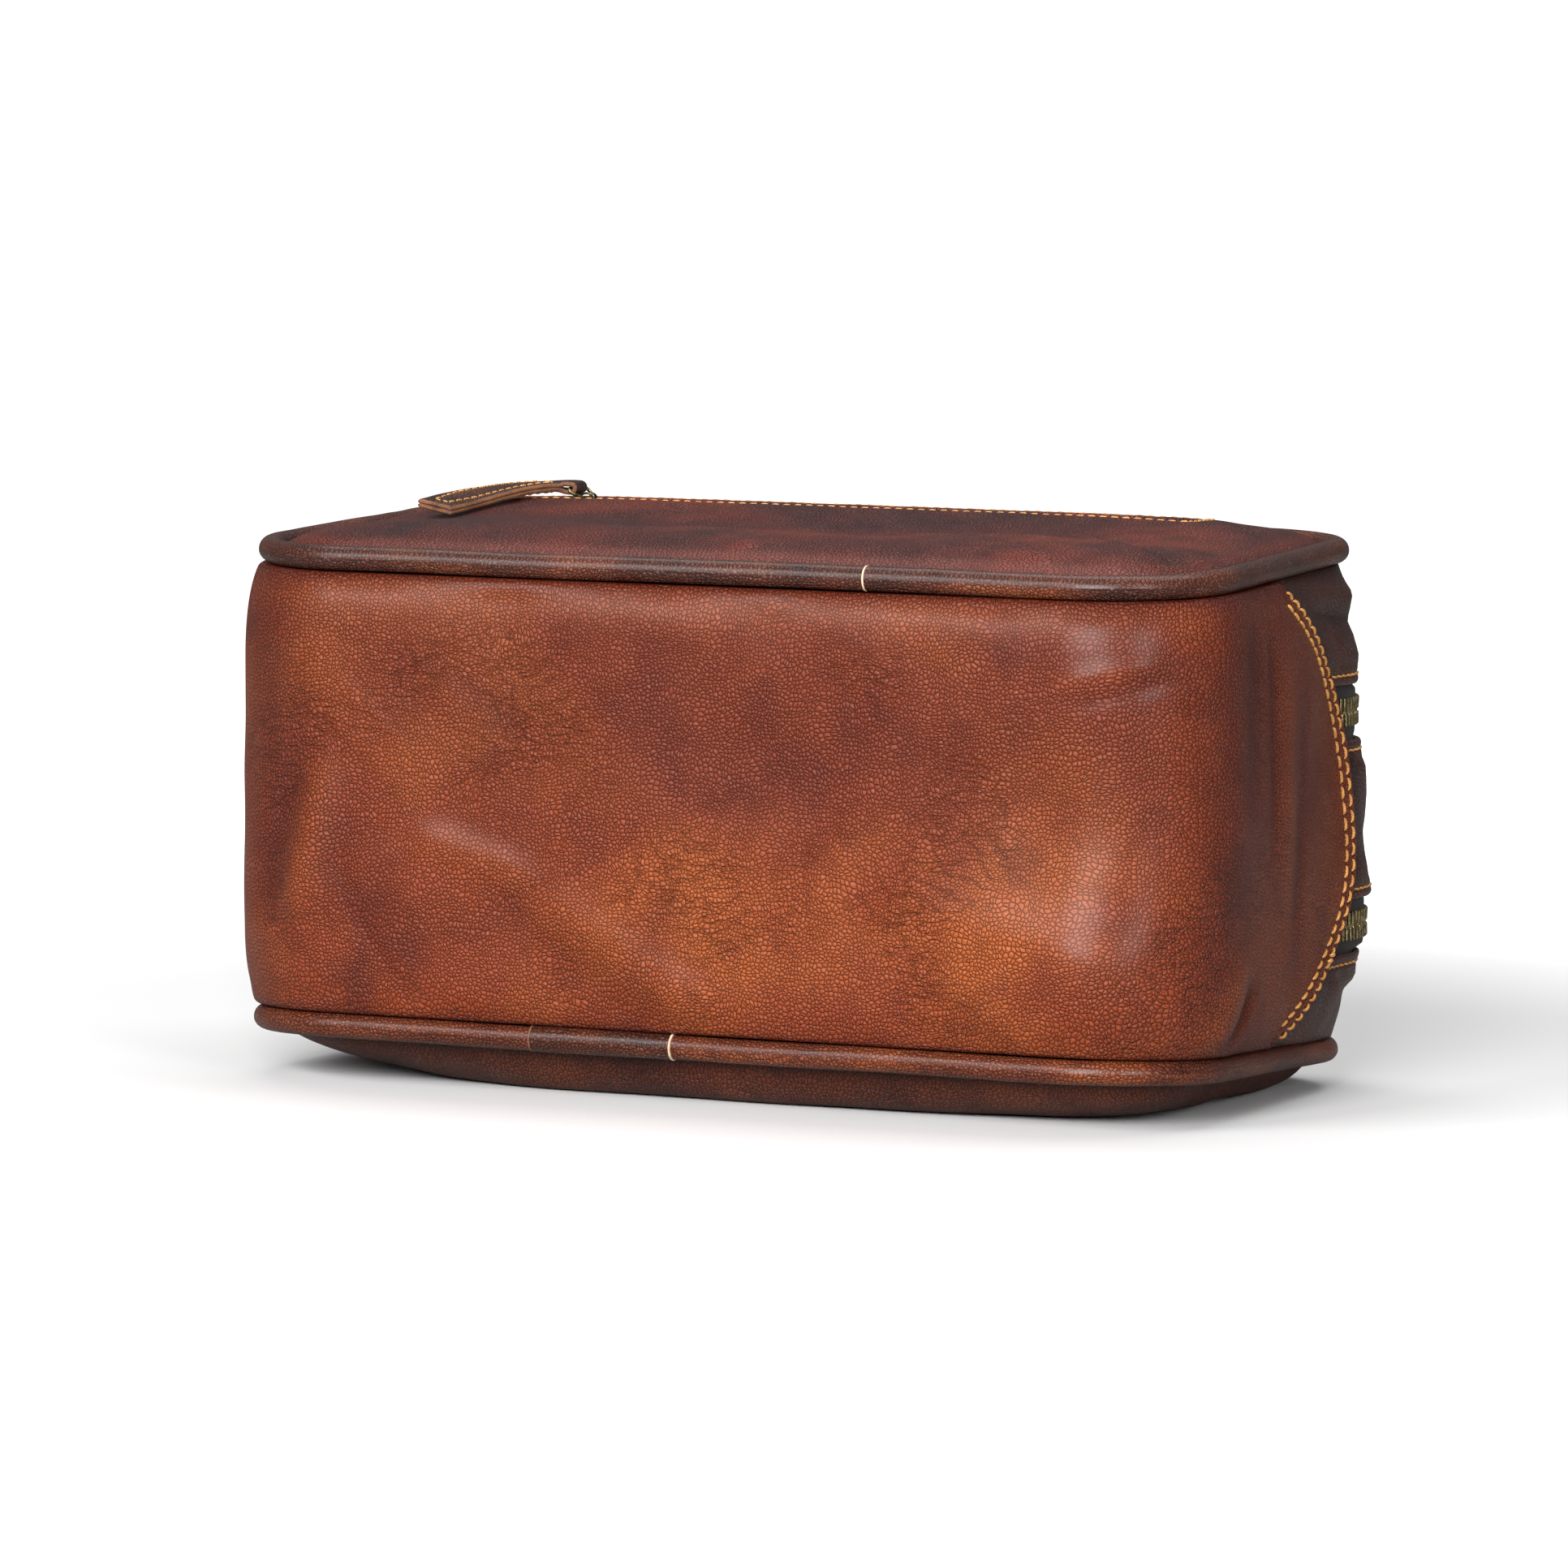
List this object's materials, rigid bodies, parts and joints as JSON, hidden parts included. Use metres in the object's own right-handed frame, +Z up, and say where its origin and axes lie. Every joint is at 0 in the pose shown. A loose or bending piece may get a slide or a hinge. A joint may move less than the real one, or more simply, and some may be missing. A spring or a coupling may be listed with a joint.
{
  "type": "shaving kit bag",
  "caption": "Zipped leather wash bag lying on its back panel, with piped seams, an outside pocket and leather zip pulls.",
  "frame": {"origin": "on the floor plane, under the middle of the back panel's flat belly that the bag rests on", "axes": "+X along the bag towards the end that the zips close away from, -Y out of the plain leather base, +Y out of the zipped top, +Z up through the front panel"},
  "size_m": [0.265, 0.1553, 0.1428],
  "materials": {
    "tan_leather": "semi-gloss pebbled cognac leather, mottled",
    "oxblood_leather": "semi-gloss dark reddish-brown leather",
    "dark_leather": "semi-gloss dark brown leather",
    "piping_cord": "matt twisted cotton cord",
    "zip_tape": "matt black woven tape",
    "antique_brass": "aged brass",
    "dark_metal": "blackened metal with brass showing at the edges",
    "lining": "plain dark brown woven lining"
  },
  "bodies": {
    "shell": {"base_and_ends_gusset": "tan_leather", "top_strip_front": "dark_leather", "top_strip_middle": "dark_leather", "top_strip_back": "dark_leather", "front_panel": "oxblood_leather", "back_panel": "oxblood_leather", "front_piping_cover": "dark_leather", "front_piping_cord": "piping_cord", "back_piping_cover": "dark_leather", "back_piping_cord": "piping_cord", "back_piping_lap": "dark_leather", "front_zip_tape_upper": "zip_tape", "front_zip_tape_lower": "zip_tape", "front_zip_teeth_upper": "antique_brass", "front_zip_teeth_lower": "antique_brass", "front_zip_stop": "antique_brass", "back_zip_tape_upper": "zip_tape", "back_zip_tape_lower": "zip_tape", "back_zip_teeth_upper": "antique_brass", "back_zip_teeth_lower": "antique_brass", "back_zip_stop": "antique_brass", "pocket_zip_tape_upper": "zip_tape", "pocket_zip_tape_lower": "zip_tape", "pocket_zip_teeth_upper": "antique_brass", "pocket_zip_teeth_lower": "antique_brass", "pocket_zip_stop": "antique_brass", "front_lining": "lining", "back_lining": "lining", "compartment_divider": "lining", "pocket_lining": "lining"},
    "front_slider": {"front_zip_slider": "dark_metal"},
    "front_ring": {"front_pull_ring": "dark_metal"},
    "front_strap": {"front_pull_strap": "tan_leather"},
    "back_slider": {"back_zip_slider": "dark_metal"},
    "back_ring": {"back_pull_ring": "dark_metal"},
    "back_strap": {"back_pull_strap": "tan_leather"},
    "pocket_slider": {"pocket_zip_slider": "dark_metal"},
    "pocket_ring": {"pocket_pull_ring": "dark_metal"},
    "pocket_strap": {"pocket_pull_strap": "tan_leather"}
  },
  "joints": [
    {"name": "front_zip_slide", "type": "slide", "parent": "shell", "child": "front_slider", "axis": [1, 0, 0], "range_m": [0, 0.174]},
    {"name": "front_ring_pivot", "type": "hinge", "parent": "front_slider", "child": "front_ring", "pos_m": [-0.0908, 0.07784, 0.093], "axis": [0, 0, 1], "range_deg": [0, 90]},
    {"name": "front_strap_pivot", "type": "hinge", "parent": "front_ring", "child": "front_strap", "pos_m": [-0.08765, 0.08031, 0.093], "axis": [0, 0, 1], "range_deg": [0, 60]},
    {"name": "back_zip_slide", "type": "slide", "parent": "shell", "child": "back_slider", "axis": [1, 0, 0], "range_m": [0, 0.174]},
    {"name": "back_ring_pivot", "type": "hinge", "parent": "back_slider", "child": "back_ring", "pos_m": [-0.0908, 0.07707, 0.041], "axis": [0, 0, 1], "range_deg": [0, 90]},
    {"name": "back_strap_pivot", "type": "hinge", "parent": "back_ring", "child": "back_strap", "pos_m": [-0.08765, 0.07954, 0.041], "axis": [0, 0, 1], "range_deg": [0, 60]},
    {"name": "pocket_zip_slide", "type": "slide", "parent": "shell", "child": "pocket_slider", "axis": [1, 0, 0], "range_m": [-0.006, 0.154]},
    {"name": "pocket_ring_pivot", "type": "hinge", "parent": "pocket_slider", "child": "pocket_ring", "pos_m": [-0.0745, 0.038, 0.1388], "axis": [0, 1, 0], "range_deg": [0, 90]},
    {"name": "pocket_strap_pivot", "type": "hinge", "parent": "pocket_ring", "child": "pocket_strap", "pos_m": [-0.07765, 0.038, 0.14126], "axis": [0, 1, 0], "range_deg": [0, 60]}
  ]
}
